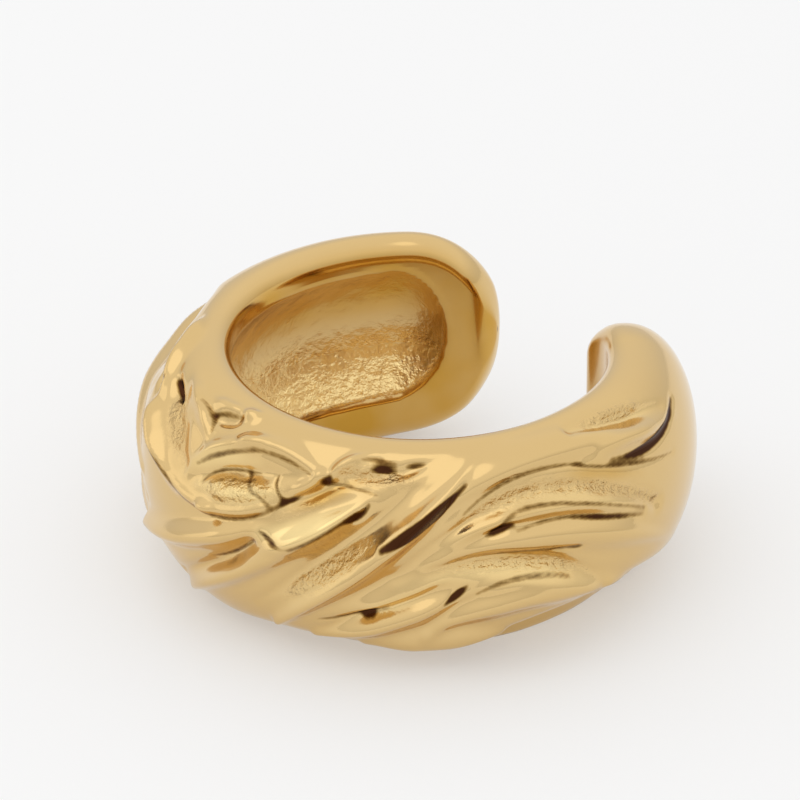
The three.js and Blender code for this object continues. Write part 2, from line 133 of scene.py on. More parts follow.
# The cast relief, one row for a fold, ridge or hollow. Each runs left to right, as seen from the
# front, through three points. Its reach above and below its line is in fold widths, and its rise
# in fold heights. At an end it is pointed at 0 and blunt at 1.
Fold = namedtuple("Fold", "left via right above below rise blunt_left blunt_right")
FOLDS = (
    # Broad dents that give the ring its outline.
    Fold((0.34, 0.05), (0.26, 0.14), (0.12, 0.16), 1.7, 1.8, -1.25, 0.9, 0.3),
    Fold((0.56, 0.04), (0.45, 0.06), (0.33, 0.06), 1.5, 1.5, -0.55, 0.5, 1.0),
    Fold((0.78, 0.72), (0.72, 0.8), (0.66, 0.76), 1.4, 1.8, -0.5, 0.3, 0.5),
    # Right arm: shoulder, upper channel, its lower lip and the smooth fold under it.
    Fold((0.4, 0.6), (0.3, 0.85), (0.15, 0.68), 1.1, 0.14, 0.45, 0.3, 0.0),
    Fold((0.387, 0.57), (0.298, 0.765), (0.205, 0.54), 0.4, 0.4, -0.4, 0.2, 0.8),
    Fold((0.395, 0.53), (0.295, 0.695), (0.18, 0.43), 0.3, 0.16, 0.45, 0.1, 0.0),
    Fold((0.37, 0.55), (0.282, 0.6), (0.16, 0.27), 0.35, 0.7, 0.45, 0.1, 0.1),
    # Lower channel of the right arm, its lip and the belly under it.
    Fold((0.4, 0.49), (0.322, 0.53), (0.256, 0.35), 0.55, 0.34, -0.5, 0.2, 0.5),
    Fold((0.372, 0.38), (0.315, 0.475), (0.25, 0.355), 0.2, 0.35, 0.4, 0.1, 0.0),
    Fold((0.378, 0.28), (0.312, 0.415), (0.23, 0.29), 0.5, 0.8, 0.75, 0.4, 0.3),
    Fold((0.42, 0.17), (0.375, 0.225), (0.328, 0.22), 0.7, 0.8, 0.5, 0.4, 0.6),
    # Main crest across the front, with the channels on both sides of it.
    Fold((0.48, 0.24), (0.402, 0.61), (0.34, 0.905), 0.5, 0.4, 0.95, 0.5, 0.1),
    Fold((0.493, 0.305), (0.431, 0.6), (0.366, 0.9), 0.42, 0.42, -0.35, 0.3, 0.2),
    Fold((0.447, 0.34), (0.389, 0.54), (0.33, 0.79), 0.35, 0.35, -0.32, 0.1, 0.1),
    Fold((0.44, 0.335), (0.398, 0.415), (0.36, 0.53), 0.25, 0.22, 0.35, 0.0, 0.0),
    Fold((0.45, 0.245), (0.402, 0.385), (0.352, 0.51), 0.32, 0.25, -0.3, 0.2, 0.1),
    Fold((0.455, 0.21), (0.398, 0.352), (0.342, 0.49), 0.22, 0.7, 0.65, 0.4, 0.1),
    # Fold left of the main crest: its crisp edge, the facet that rises to it and the hollow above.
    Fold((0.565, 0.19), (0.475, 0.53), (0.405, 0.82), 0.5, 0.42, 0.65, 0.6, 0.2),
    Fold((0.487, 0.565), (0.453, 0.62), (0.414, 0.765), 0.7, 0.32, 0.4, 0.8, 0.3),
    Fold((0.497, 0.625), (0.463, 0.74), (0.415, 0.86), 0.3, 0.25, -0.4, 0.2, 0.2),
    Fold((0.575, 0.23), (0.517, 0.42), (0.482, 0.56), 0.35, 0.3, -0.5, 0.4, 0.3),
    Fold((0.507, 0.46), (0.489, 0.525), (0.473, 0.57), 0.16, 0.2, 0.3, 0.3, 0.3),
    Fold((0.437, 0.85), (0.405, 0.86), (0.352, 0.94), 0.25, 0.3, -0.45, 0.4, 0.0),
    Fold((0.444, 0.805), (0.436, 0.875), (0.412, 0.93), 0.2, 0.18, 0.6, 0.4, 0.2),
    # Lobe at the lower left.
    Fold((0.61, 0.34), (0.535, 0.49), (0.478, 0.635), 0.45, 0.5, 0.85, 0.7, 0.1),
    # The leaf on the left: its lower lip, its upper roll, and the hollow and the mound inside.
    Fold((0.612, 0.7), (0.575, 0.61), (0.528, 0.594), 0.28, 0.14, 0.45, 0.3, 0.9),
    Fold((0.535, 0.592), (0.49, 0.66), (0.45, 0.8), 0.28, 0.15, 0.5, 0.8, 0.3),
    Fold((0.558, 0.68), (0.53, 0.8), (0.503, 0.855), 0.45, 0.18, 0.42, 0.1, 0.9),
    Fold((0.513, 0.85), (0.484, 0.866), (0.453, 0.825), 0.45, 0.18, 0.42, 0.9, 0.7),
    Fold((0.477, 0.73), (0.46, 0.785), (0.45, 0.83), 0.2, 0.3, 0.35, 0.1, 0.9),
    Fold((0.55, 0.665), (0.512, 0.76), (0.467, 0.8), 0.45, 0.5, -0.45, 0.5, 0.3),
    Fold((0.535, 0.62), (0.507, 0.69), (0.478, 0.735), 0.35, 0.3, 0.35, 0.3, 0.3),
    # Left of the leaf: the bulge at the side, the valley beside it and the ridge that borders it.
    Fold((0.638, 0.77), (0.607, 0.685), (0.575, 0.62), 0.5, 0.3, 0.6, 0.3, 0.3),
    Fold((0.632, 0.885), (0.59, 0.77), (0.562, 0.68), 0.8, 0.75, -0.42, 0.2, 0.5),
    Fold((0.625, 0.925), (0.57, 0.878), (0.546, 0.79), 0.16, 0.4, 0.4, 0.0, 0.3),
    Fold((0.618, 0.85), (0.61, 0.835), (0.602, 0.82), 0.22, 0.22, -0.45, 0.6, 0.6),
    Fold((0.555, 0.86), (0.54, 0.885), (0.524, 0.92), 0.24, 0.22, -0.5, 0.5, 0.0),
    Fold((0.575, 0.907), (0.55, 0.922), (0.526, 0.935), 0.2, 0.14, 0.3, 0.0, 0.4),
    Fold((0.53, 0.94), (0.526, 0.942), (0.522, 0.945), 0.2, 0.2, 0.35, 1.0, 1.0),
    # Narrow tip: the dimple on top and the band under it.
    Fold((0.262, 0.92), (0.215, 0.885), (0.165, 0.81), 0.3, 0.35, -0.4, 0.7, 0.5),
    Fold((0.268, 0.8), (0.218, 0.8), (0.155, 0.75), 0.45, 0.16, 0.5, 0.1, 0.2),
    # Left shoulder and the back, where the folds fade towards the broad tip.
    Fold((0.71, 0.985), (0.655, 0.91), (0.615, 0.72), 0.4, 0.3, 0.5, 0.0, 0.2),
    Fold((0.69, 0.91), (0.65, 0.84), (0.615, 0.66), 0.3, 0.4, -0.5, 0.0, 0.2),
    Fold((0.8, 0.84), (0.73, 0.64), (0.62, 0.5), 0.6, 0.3, 0.7, 0.0, 0.3),
    Fold((0.79, 0.7), (0.72, 0.53), (0.61, 0.42), 0.4, 0.4, -0.6, 0.0, 0.3),
    Fold((0.85, 0.62), (0.75, 0.42), (0.6, 0.3), 0.6, 0.4, 0.7, 0.0, 0.3),
    Fold((0.84, 0.46), (0.76, 0.3), (0.64, 0.18), 0.4, 0.4, -0.6, 0.0, 0.0),
    Fold((0.9, 0.44), (0.82, 0.28), (0.7, 0.15), 0.7, 0.7, 0.6, 0.0, 0.2),
)

# Where the cast skin was left rough: each as a fold, with how rough it is instead of a rise.
ROUGH_PATCHES = (
    Fold((0.38, 0.61), (0.3, 0.77), (0.205, 0.56), 0.4, 0.5, 1.5, 0.3, 0.8),
    Fold((0.4, 0.49), (0.322, 0.53), (0.256, 0.38), 0.35, 0.4, 1.5, 0.3, 0.6),
    Fold((0.48, 0.33), (0.445, 0.48), (0.395, 0.72), 0.5, 0.35, 1.5, 0.4, 0.4),
    Fold((0.545, 0.65), (0.51, 0.7), (0.475, 0.745), 0.5, 0.7, 1.5, 0.5, 0.6),
    Fold((0.492, 0.59), (0.46, 0.7), (0.425, 0.79), 0.35, 0.2, 1.1, 0.3, 0.4),
    Fold((0.45, 0.86), (0.41, 0.85), (0.375, 0.84), 0.5, 0.5, 1.4, 0.4, 0.4),
    Fold((0.262, 0.93), (0.215, 0.9), (0.17, 0.85), 0.4, 0.35, 1.4, 0.6, 0.5),
    Fold((0.615, 0.86), (0.59, 0.77), (0.562, 0.67), 0.9, 0.8, 1.3, 0.4, 0.5),
    Fold((0.642, 0.87), (0.634, 0.78), (0.625, 0.7), 0.2, 0.2, 0.9, 0.3, 0.4),
    Fold((0.55, 0.37), (0.52, 0.42), (0.495, 0.52), 0.25, 0.2, 0.8, 0.4, 0.4),
    Fold((0.49, 0.27), (0.45, 0.29), (0.41, 0.33), 0.35, 0.35, 0.6, 0.4, 0.4),
    Fold((0.55, 0.86), (0.541, 0.88), (0.53, 0.9), 0.2, 0.2, 0.9, 0.5, 0.4),
)

# Thin creases, cut as grooves and darkened with painted shade: each as a fold, but all are as deep
# and as dark, so they have no rise.
Crease = namedtuple("Crease", "left via right above below blunt_left blunt_right")
CREASES = (
    # Round the leaf and in it.
    Crease((0.636, 0.7), (0.59, 0.64), (0.553, 0.582), THIN, THIN, 0.6, 0.9),
    Crease((0.556, 0.582), (0.51, 0.598), (0.47, 0.72), THIN, THIN, 0.9, 0.7),
    Crease((0.478, 0.695), (0.47, 0.72), (0.46, 0.755), 0.07, 0.05, 0.2, 0.1),
    Crease((0.45, 0.8), (0.447, 0.815), (0.443, 0.835), 0.06, 0.06, 0.4, 0.4),
    Crease((0.549, 0.705), (0.527, 0.79), (0.503, 0.84), THIN, THIN, 0.6, 0.7),
    Crease((0.506, 0.84), (0.482, 0.849), (0.457, 0.82), THIN, THIN, 0.7, 0.6),
    Crease((0.541, 0.662), (0.527, 0.735), (0.497, 0.775), THIN, THIN, 0.6, 0.6),
    Crease((0.483, 0.795), (0.481, 0.75), (0.473, 0.715), 0.034, 0.034, 0.6, 0.9),
    Crease((0.508, 0.77), (0.5, 0.725), (0.483, 0.69), THIN, THIN, 0.7, 0.7),
    # Left of the leaf.
    Crease((0.573, 0.884), (0.556, 0.87), (0.547, 0.82), THIN, THIN, 0.6, 0.6),
    Crease((0.557, 0.868), (0.547, 0.9), (0.53, 0.92), THIN, THIN, 0.8, 0.6),
    Crease((0.619, 0.85), (0.61, 0.835), (0.601, 0.82), 0.12, 0.12, 0.7, 0.6),
    Crease((0.63, 0.83), (0.628, 0.77), (0.622, 0.72), THIN, THIN, 0.6, 0.6),
    # Between the leaf and the main crest.
    Crease((0.53, 0.41), (0.512, 0.46), (0.49, 0.56), THIN, THIN, 0.6, 0.8),
    Crease((0.487, 0.6), (0.477, 0.583), (0.463, 0.577), 0.04, 0.06, 0.6, 0.2),
    Crease((0.463, 0.578), (0.444, 0.64), (0.422, 0.73), THIN, THIN, 0.8, 0.9),
    Crease((0.43, 0.69), (0.421, 0.715), (0.415, 0.76), 0.05, 0.05, 0.6, 0.6),
    Crease((0.418, 0.872), (0.409, 0.879), (0.398, 0.874), 0.08, 0.06, 0.4, 0.4),
    Crease((0.392, 0.895), (0.385, 0.9), (0.377, 0.905), 0.05, 0.05, 0.6, 0.6),
    Crease((0.425, 0.9), (0.412, 0.91), (0.398, 0.9), THIN, THIN, 0.6, 0.6),
    Crease((0.446, 0.8), (0.436, 0.81), (0.41, 0.79), THIN, THIN, 0.6, 0.6),
    # Along the main crest.
    Crease((0.406, 0.62), (0.381, 0.71), (0.35, 0.825), 0.09, 0.19, 0.35, 0.25),
    Crease((0.418, 0.34), (0.415, 0.346), (0.412, 0.352), 0.09, 0.09, 1.0, 1.0),
    Crease((0.45, 0.29), (0.425, 0.335), (0.4, 0.38), THIN, THIN, 0.6, 0.6),
    Crease((0.367, 0.412), (0.359, 0.444), (0.351, 0.475), 0.07, 0.1, 0.3, 0.2),
    # Right arm.
    Crease((0.354, 0.72), (0.315, 0.822), (0.264, 0.806), THIN, THIN, 0.6, 0.8),
    Crease((0.27, 0.81), (0.235, 0.745), (0.175, 0.655), THIN, THIN, 0.8, 0.6),
    Crease((0.24, 0.778), (0.192, 0.742), (0.146, 0.79), 0.11, 0.11, 0.2, 0.4),
    Crease((0.33, 0.68), (0.29, 0.708), (0.217, 0.555), THIN, THIN, 0.6, 0.6),
    Crease((0.34, 0.645), (0.331, 0.66), (0.321, 0.673), 0.08, 0.08, 0.4, 0.6),
    Crease((0.32, 0.646), (0.288, 0.655), (0.25, 0.593), THIN, THIN, 0.6, 0.9),
    Crease((0.28, 0.64), (0.252, 0.597), (0.22, 0.533), 0.05, 0.06, 0.2, 0.4),
    Crease((0.342, 0.566), (0.31, 0.566), (0.276, 0.54), THIN, THIN, 0.6, 0.9),
    Crease((0.283, 0.545), (0.28, 0.542), (0.276, 0.539), THIN, THIN, 0.8, 0.8),
    Crease((0.347, 0.438), (0.32, 0.482), (0.284, 0.44), THIN, THIN, 0.6, 0.6),
)

# Painted shade, where the plate is deeper in colour, and painted highlights, where it is paler
# and the number is below 0: each as a fold, with how deep or pale it is instead of a rise.
SHADE_AND_HIGHLIGHT_PATCHES = (
    Fold((0.285, 0.8), (0.252, 0.755), (0.215, 0.675), 0.25, 0.3, 0.8, 0.3, 0.3),
    Fold((0.345, 0.555), (0.31, 0.56), (0.275, 0.535), 0.25, 0.25, 0.8, 0.3, 0.3),
    Fold((0.47, 0.69), (0.445, 0.765), (0.42, 0.845), 0.3, 0.3, 0.8, 0.3, 0.3),
    Fold((0.58, 0.24), (0.53, 0.38), (0.49, 0.5), 0.2, 0.25, 0.3, 0.3, 0.3),
    Fold((0.36, 0.62), (0.33, 0.7), (0.28, 0.74), 0.3, 0.3, 0.35, 0.3, 0.3),
    Fold((0.56, 0.66), (0.535, 0.76), (0.5, 0.81), 0.4, 0.4, -0.6, 0.5, 0.5),
    Fold((0.485, 0.59), (0.455, 0.645), (0.422, 0.76), 0.45, 0.3, -1.2, 0.6, 0.5),
    Fold((0.545, 0.65), (0.51, 0.69), (0.48, 0.74), 0.35, 0.45, -1.0, 0.5, 0.5),
    Fold((0.62, 0.9), (0.59, 0.82), (0.575, 0.72), 0.3, 0.4, -0.3, 0.5, 0.5),
    Fold((0.37, 0.6), (0.3, 0.74), (0.23, 0.57), 0.3, 0.3, -0.5, 0.4, 0.4),
    Fold((0.262, 0.91), (0.215, 0.87), (0.17, 0.83), 0.3, 0.35, -0.5, 0.6, 0.5),
    Fold((0.48, 0.3), (0.445, 0.46), (0.4, 0.68), 0.35, 0.3, -0.4, 0.4, 0.4),
    Fold((0.395, 0.47), (0.325, 0.51), (0.265, 0.38), 0.3, 0.35, -0.6, 0.4, 0.4),
    Fold((0.435, 0.33), (0.4, 0.4), (0.365, 0.51), 0.25, 0.25, -0.7, 0.4, 0.4),
)


def length(name, description, default):
    return bpy.props.FloatProperty(
        name=name,
        description=description,
        default=default,
        min=0.0,
        precision=5,
        unit="LENGTH",
        subtype="DISTANCE",
    )


def angle(name, description, degrees):
    return bpy.props.FloatProperty(
        name=name,
        description=description,
        default=math.radians(degrees),
        unit="ROTATION",
        subtype="ANGLE",
    )


def share(name, description, default, highest=1.0):
    return bpy.props.FloatProperty(
        name=name, description=description, default=default, min=0.0, max=highest
    )


def colour(name, description, default):
    return bpy.props.FloatVectorProperty(
        name=name,
        description=description,
        default=default,
        size=3,
        min=0.0,
        max=1.0,
        subtype="COLOR",
    )


class CuffSizes(bpy.types.PropertyGroup):
    """Sizes of the ring, its hollow and its relief."""

    bore_radius: length("Bore radius", "Round space that holds the rim of the ear", 5.1 * MM)
    thickness: length("Band thickness", "From the bore to the outer face", 2.5 * MM)
    height: length("Band height", "Along the axis of the ring", 6.45 * MM)
    rim_round: length("Rim rounding", "Radius of the two edges of the bore", 0.5 * MM)
    bulge: share("Bulge", "2 gives the outer face an elliptic section", 2.05, 4.0)
    foot_flat: length("Foot", "Ground off the lower rim, so that the ring lies still", 0.1 * MM)
    gap_direction: angle("Gap direction", "Middle of the gap, from X towards Y", 51.5)
    gap_angle: angle("Gap", "Angle between the two tips", 34.0)
    narrow_taper: length("Narrow tip taper", "Length in which the narrow tip gets low", 2.8 * MM)
    narrow_power: share("Narrow tip fullness", "More makes a blunter tip", 2.1, 4.0)
    narrow_round: length("Narrow tip rounding", "Length in which it gets thin", 1.2 * MM)
    broad_taper: length("Broad tip taper", "Length in which the broad tip gets low", 2.9 * MM)
    broad_power: share("Broad tip fullness", "More makes a blunter tip", 2.4, 4.0)
    broad_round: length("Broad tip rounding", "Length in which it gets thin", 0.9 * MM)
    hollow_height: length("Hollow height", "Long hollow in the bore side", 4.2 * MM)
    hollow_depth: length("Hollow depth", "At its middle", 0.85 * MM)
    hollow_lift: length("Hollow lift", "Its middle above the middle of the band", 0.25 * MM)
    hollow_narrow: length("Hollow to narrow tip", "Solid metal left there", 2.6 * MM)
    hollow_broad: length("Hollow to broad tip", "Solid metal left there", 1.4 * MM)
    fold_width: length("Fold width", "Reach of a fold to one side of its line", 1.0 * MM)
    fold_height: length("Fold height", "How far a fold stands out", 0.6 * MM)
    fold_least: length("Least fold", "Narrowest side of a fold", 0.1 * MM)
    crease_depth: length("Crease depth", "How deep the thin creases are", 0.07 * MM)
    run_out: share("Fold run-out", "Share of its length in which a fold grows", 0.4)
    land_top: share("Upper border", "Plain border at the upper rim, share of the face", 0.045)
    land_foot: share("Lower border", "Plain border at the lower rim, share of the face", 0.03)


class CuffFinish(bpy.types.PropertyGroup):
    """Colours of the plated metal, with its painted shade and painted highlights, and its texture.
    """

    gold: colour("Gold", "Plate where it is polished", (0.72, 0.505, 0.225))
    # Deep gold is painted shade: all down the bore side, high in the hollow, on the deep patches
    # and beside the creases.
    deep: colour("Deep gold", "Plate on the bore side and beside the creases", (0.6, 0.335, 0.052))
    # Pale gold is painted highlight: low in the hollow and on the pale patches of the outer face.
    pale: colour("Pale gold", "Plate over the cast skin where it is bright", (1.0, 0.77, 0.36))
    # The crevice colour is painted shade: it stands in for the dark reflections in the creases.
    crevice: colour("Crevice", "Tarnish in the creases", (0.06, 0.021, 0.008))
    polished: share("Polished roughness", "Roughness of the polished folds", 0.13)
    cast: share("Cast roughness", "Roughness where the cast skin is left", 0.34)
    grain: length("Cast grain", "Size of the grains of the cast skin", 0.21 * MM)
    grain_height: length("Grain height", "How far the grains stand out", 0.13 * MM)
    lump_height: length("Lump height", "How far the lumps of the cast skin stand out", 0.04 * MM)


class StudioSettings(bpy.types.PropertyGroup):
    """Floor, light and camera."""

    floor_colour: colour("Floor", "Pale floor", (0.57, 0.57, 0.57))
    floor_glow: share("Floor glow", "Light that the floor gives off itself", 0.34)
    surround: share("Surround", "Strength of the even white light from above", 1.0, 5.0)
    low_surround: share("Low surround", "Strength of the same light near the floor", 0.75, 5.0)
    elevation: angle("Camera elevation", "Above the floor", 30.0)
    distance: length("Camera distance", "From the middle of the picture", 250 * MM)
    picture_width: length("Picture width", "Seen at the ring", 21.74 * MM)


def smooth(x):
    """0 up to 0, 1 from 1 on, and eased between."""
    x = np.clip(x, 0, 1)
    return x * x * (3 - 2 * x)


def softened(grid, passes):
    """The grid averaged with its neighbours along both directions, (along, up) times."""
    for axis, times in enumerate(passes):
        pad = [(0, 0), (0, 0)]
        pad[axis] = (1, 1)
        for _ in range(times):
            wide = np.pad(grid, pad, mode="edge")
            if axis == 0:
                grid = (wide[:-2] + 2 * grid + wide[2:]) / 4
            else:
                grid = (wide[:, :-2] + 2 * grid + wide[:, 2:]) / 4
    return grid


def band_turn(sizes):
    """Where the band starts round the axis, and the angle that it covers from there."""
    return sizes.gap_direction - sizes.gap_angle / 2, 2 * math.pi - sizes.gap_angle


class Band:
    """The ring's skin as a grid: a row for each station, a column for each point of a section."""

    def __init__(self, sizes):
        self.sizes = sizes
        self.start, self.angle = band_turn(sizes)
        self.length = (sizes.bore_radius + sizes.thickness / 2) * self.angle
        self.outer_length = (sizes.bore_radius + sizes.thickness) * self.angle
        bulge = sizes.thickness - sizes.rim_round
        self.face_length = math.pi * math.sqrt(((sizes.height / 2) ** 2 + bulge**2) / 2)
        self.shares = self.stations()
        self.ups = np.linspace(0, 1, FACE_STEPS + 1)
        self.sections()

    def stations(self):
        """Shares of the band at which it has a section."""
        narrow = self.sizes.narrow_taper / self.length
        broad = self.sizes.broad_taper / self.length
        tip = 1 - np.cos(np.linspace(0, math.pi / 2, TIP_STATIONS + 1)[1:-1])
        even = np.linspace(0, 1, STATIONS + 1)
        low, high = FOLDED
        extra = (high - low) * (FOLDED_TIMES - 1)
        want = even * (1 + extra)
        inside = np.minimum(high, low + (want - low) / FOLDED_TIMES)
        spread = np.where(want < low, want, np.maximum(inside, want - extra))
        middle = narrow + (1 - narrow - broad) * spread
        return np.concatenate([narrow * tip, middle, 1 - broad * tip[::-1]])

    def taper(self, distance, reach, power):
        """How much of its full size a rounded end has at a distance from its tip."""
        left = np.clip(1 - distance / reach, 0, 1)
        return (1 - left**power) ** (1 / power)

    def form(self, column):
        """A column of the forms at each station, eased from one row to the next."""
        at = np.array([row.at for row in FORMS])
        value = np.array([getattr(row, column) for row in FORMS])
        row = np.clip(np.searchsorted(at, self.shares), 1, len(at) - 1)
        t = smooth((self.shares - at[row - 1]) / (at[row] - at[row - 1]))
        return value[row - 1] + (value[row] - value[row - 1]) * t

    def sections(self):
        """Bore side, thickness, middle and half height of the band at each station."""
        sizes = self.sizes
        narrow, broad = self.shares * self.length, (1 - self.shares) * self.length
        round_off = self.taper(narrow, sizes.narrow_round, ROUND)
        round_off = round_off * self.taper(broad, sizes.broad_round, ROUND)
        shrink = self.taper(narrow, sizes.narrow_taper, sizes.narrow_power)
        shrink = shrink * self.taper(broad, sizes.broad_taper, sizes.broad_power)
        full = self.form("thick") * sizes.thickness
        top, foot = self.form("top"), self.form("foot")
        self.thick = full * round_off
        self.bore = sizes.bore_radius + (full - self.thick) / 2
        self.middle = (top + foot) / 2 * sizes.height
        self.half = (top - foot) / 2 * sizes.height * shrink
        most = MOST_EDGE * np.minimum(self.thick, self.half)
        self.edge = np.minimum(sizes.rim_round, most)

    def outer_face(self):
        """Radius and height of the plain outer face, at equal steps from rim to rim."""
        turn = (np.linspace(0, 1, CURVE_STEPS * FACE_STEPS + 1) - 0.5) * math.pi
        power = 2 / self.sizes.bulge
        out = np.maximum(0, np.cos(turn)) ** power
        up = np.sign(turn) * np.abs(np.sin(turn)) ** power
        radius = np.empty((len(self.shares), FACE_STEPS + 1))
        height = np.empty_like(radius)
        for k in range(len(self.shares)):
            r = self.bore[k] + self.edge[k] + (self.thick[k] - self.edge[k]) * out
            z = self.middle[k] + self.half[k] * up
            run = np.concatenate([[0], np.cumsum(np.hypot(np.diff(r), np.diff(z)))])
            radius[k] = np.interp(self.ups * run[-1], run, r)
            height[k] = np.interp(self.ups * run[-1], run, z)
        return radius, height

    def strokes(self, rows, rise):
        """The sum of the rows' folds over the outer face."""
        total = np.zeros((FACE_STEPS + 1) * len(self.shares))
        for row in rows:
            spot, distance, size, side = self.near_line(row)
            reach = np.maximum(self.sizes.fold_least, size * side * self.sizes.fold_width)
            q = np.minimum(distance / reach, 1)
            total[spot] += rise * row.rise * size * (1 - q * q) ** 2
        return total.reshape(len(self.shares), FACE_STEPS + 1)

    def lines(self, rows, most):
        """How far inside the nearest row's border each point is, up to most to both sides."""
        total = np.full((FACE_STEPS + 1) * len(self.shares), -most)
        for row in rows:
            spot, distance, size, side = self.near_line(row)
            inside = size * side * self.sizes.fold_width - distance
            total[spot] = np.clip(inside, total[spot], most)
        return total.reshape(len(self.shares), FACE_STEPS + 1)

    def near_line(self, row):
        """Points near a row's line: which, their distance from it, its size and its side there."""
        along = np.repeat(-self.shares * self.outer_length, FACE_STEPS + 1)
        up = np.tile(self.ups * self.face_length, len(self.shares))
        points = np.stack([along, up], 1)
        steps = np.linspace(0, 1, STROKE_STEPS + 1)[:, None]
        scale = np.array([-self.outer_length, self.face_length])
        left, via, right = (np.array(p) * scale for p in (row.left, row.via, row.right))
        pull = 2 * via - (left + right) / 2  # makes the curve pass through the middle point
        line = (1 - steps) ** 2 * left + 2 * steps * (1 - steps) * pull + steps**2 * right
        reach = max(LEAST_REACH, row.above, row.below) * self.sizes.fold_width
        near = np.all((points > line.min(0) - reach) & (points < line.max(0) + reach), 1)
        spot = np.where(near)[0]
        points = points[spot]
        best = np.full(len(points), np.inf)
        share_of_line = np.zeros(len(points))
        above = np.zeros(len(points), bool)
        for i in range(STROKE_STEPS):
            run = line[i + 1] - line[i]
            away = points - line[i]
            t = np.clip(away @ run / (run @ run), 0, 1)
            distance = np.linalg.norm(away - t[:, None] * run, axis=1)
            better = distance < best
            best[better] = distance[better]
            share_of_line[better] = (i + t[better]) / STROKE_STEPS
            above[better] = (run[0] * away[:, 1] - run[1] * away[:, 0] > 0)[better]
        run_out = self.sizes.run_out
        start = row.blunt_left + (1 - row.blunt_left) * smooth(share_of_line / run_out)
        end = row.blunt_right + (1 - row.blunt_right) * smooth((1 - share_of_line) / run_out)
        return spot, best, np.minimum(start, end), np.where(above, row.above, row.below)

    def land(self):
        """Fades the relief out at both rims and in the tips."""
        top = smooth((1 - self.ups) / self.sizes.land_top)
        foot = smooth(self.ups / self.sizes.land_foot)
        tips = np.minimum(1, self.half / (self.sizes.height / 2))
        return tips[:, None] * (top * foot)[None, :]

    def bore_side(self):
        """Radius, height and hollow depth down the bore side, from rim to rim."""
        sizes = self.sizes
        turns = np.linspace(0, math.pi / 2, EDGE_STEPS + 1)[1:]
        straight = self.half - self.edge
        radius, height, depth = [], [], []
        for turn in turns:
            radius.append(self.bore + self.edge * (1 - math.sin(turn)))
            height.append(self.middle + straight + self.edge * math.cos(turn))
            depth.append(np.zeros_like(straight))
        narrow, broad = self.shares * self.length, (1 - self.shares) * self.length
        reach = sizes.hollow_height / 2
        past = np.maximum(sizes.hollow_narrow + reach - narrow, sizes.hollow_broad + reach - broad)
        past = np.maximum(0, past)
        for step in range(1, BORE_STEPS):
            up = straight * (1 - 2 * step / BORE_STEPS) - sizes.hollow_lift
            deep = np.maximum(0, 1 - (past**2 + up**2) / reach**2)
            radius.append(self.bore + sizes.hollow_depth * deep)
            height.append(self.middle + up + sizes.hollow_lift)
            depth.append(deep)
        for turn in turns[::-1]:
            radius.append(self.bore + self.edge * (1 - math.sin(turn)))
            height.append(self.middle - straight - self.edge * math.cos(turn))
            depth.append(np.zeros_like(straight))
        return np.array(radius).T, np.array(height).T, np.array(depth).T

    def skin(self):
        """Points of the whole skin, and their roughness, crevice, and painted shade and highlight.
        """
        sizes = self.sizes
        radius, height = self.outer_face()
        rough = np.clip(softened(self.strokes(ROUGH_PATCHES, 1), ROUGH_PASSES), 0, 1)
        shade_and_highlight = np.clip(softened(self.strokes(SHADE_AND_HIGHLIGHT_PATCHES, 1), SHADE_AND_HIGHLIGHT_PASSES), -1, 1)
        crevice = softened(self.lines(CREASES, CREASE_FADE), CREASE_PASSES) / CREASE_FADE
        relief = softened(self.strokes(FOLDS, sizes.fold_height), FOLD_PASSES) * self.land()
        relief = relief - smooth(GROOVE_SPREAD + crevice) * sizes.crease_depth
        relief[:, [0, -1]] = 0
        out, up = np.gradient(radius, axis=1), np.gradient(height, axis=1)
        run = np.hypot(out, up) + LEAST_STEP
        radius, height = radius + relief * up / run, height - relief * out / run
        bore_radius, bore_height, depth = self.bore_side()
        cast = smooth(CAST_RISE * depth)
        bore_rough = cast * (HOLLOW_ROUGH + FLOOR_ROUGH * self.below(bore_height, FLOOR_FADE))
        # Painted light on the bore side: deep painted shade all down it, turning to pale painted
        # highlight low in the hollow.
        bore_shade_and_highlight = 1 - 2 * cast * self.below(bore_height, PALE_FADE)
        bore_shade_and_highlight = bore_shade_and_highlight * self.within_edges(depth)
        radius = np.concatenate([radius, bore_radius], 1)
        height = np.concatenate([height, bore_height], 1)
        height = np.maximum(0, height - sizes.foot_flat)
        turn = (self.start - self.shares * self.angle)[:, None]
        points = np.stack([radius * np.cos(turn), radius * np.sin(turn), height], -1)
        attributes = {
            "rough": np.concatenate([rough, bore_rough], 1),
            "crevice": np.concatenate([crevice, -np.ones_like(depth)], 1),
            "shade_and_highlight": np.concatenate([shade_and_highlight, bore_shade_and_highlight], 1),
        }
        return points, attributes

    def below(self, height, fade):
        """0 high on the band, growing to 1 down it over the fade."""
        up = (height - self.middle[:, None]) / (fade.reach * self.sizes.height)
        return smooth(fade.start - up)

    def within_edges(self, grid):
        """1 down the bore side, fading to 0 round its two edges."""
        row = np.minimum(np.arange(grid.shape[1]), np.arange(grid.shape[1])[::-1])
        return np.broadcast_to(smooth(row / EDGE_STEPS), grid.shape)

    def tips(self):
        """The two points that close the band."""
        points = []
        for station, at in ((0, 0.0), (-1, 1.0)):
            turn = self.start - at * self.angle
            radius = self.bore[station] + self.thick[station] / 2
            height = self.middle[station] - self.sizes.foot_flat
            points.append((radius * math.cos(turn), radius * math.sin(turn), height))
        return points


def deselect_all():
    bpy.ops.object.select_all(action="DESELECT")


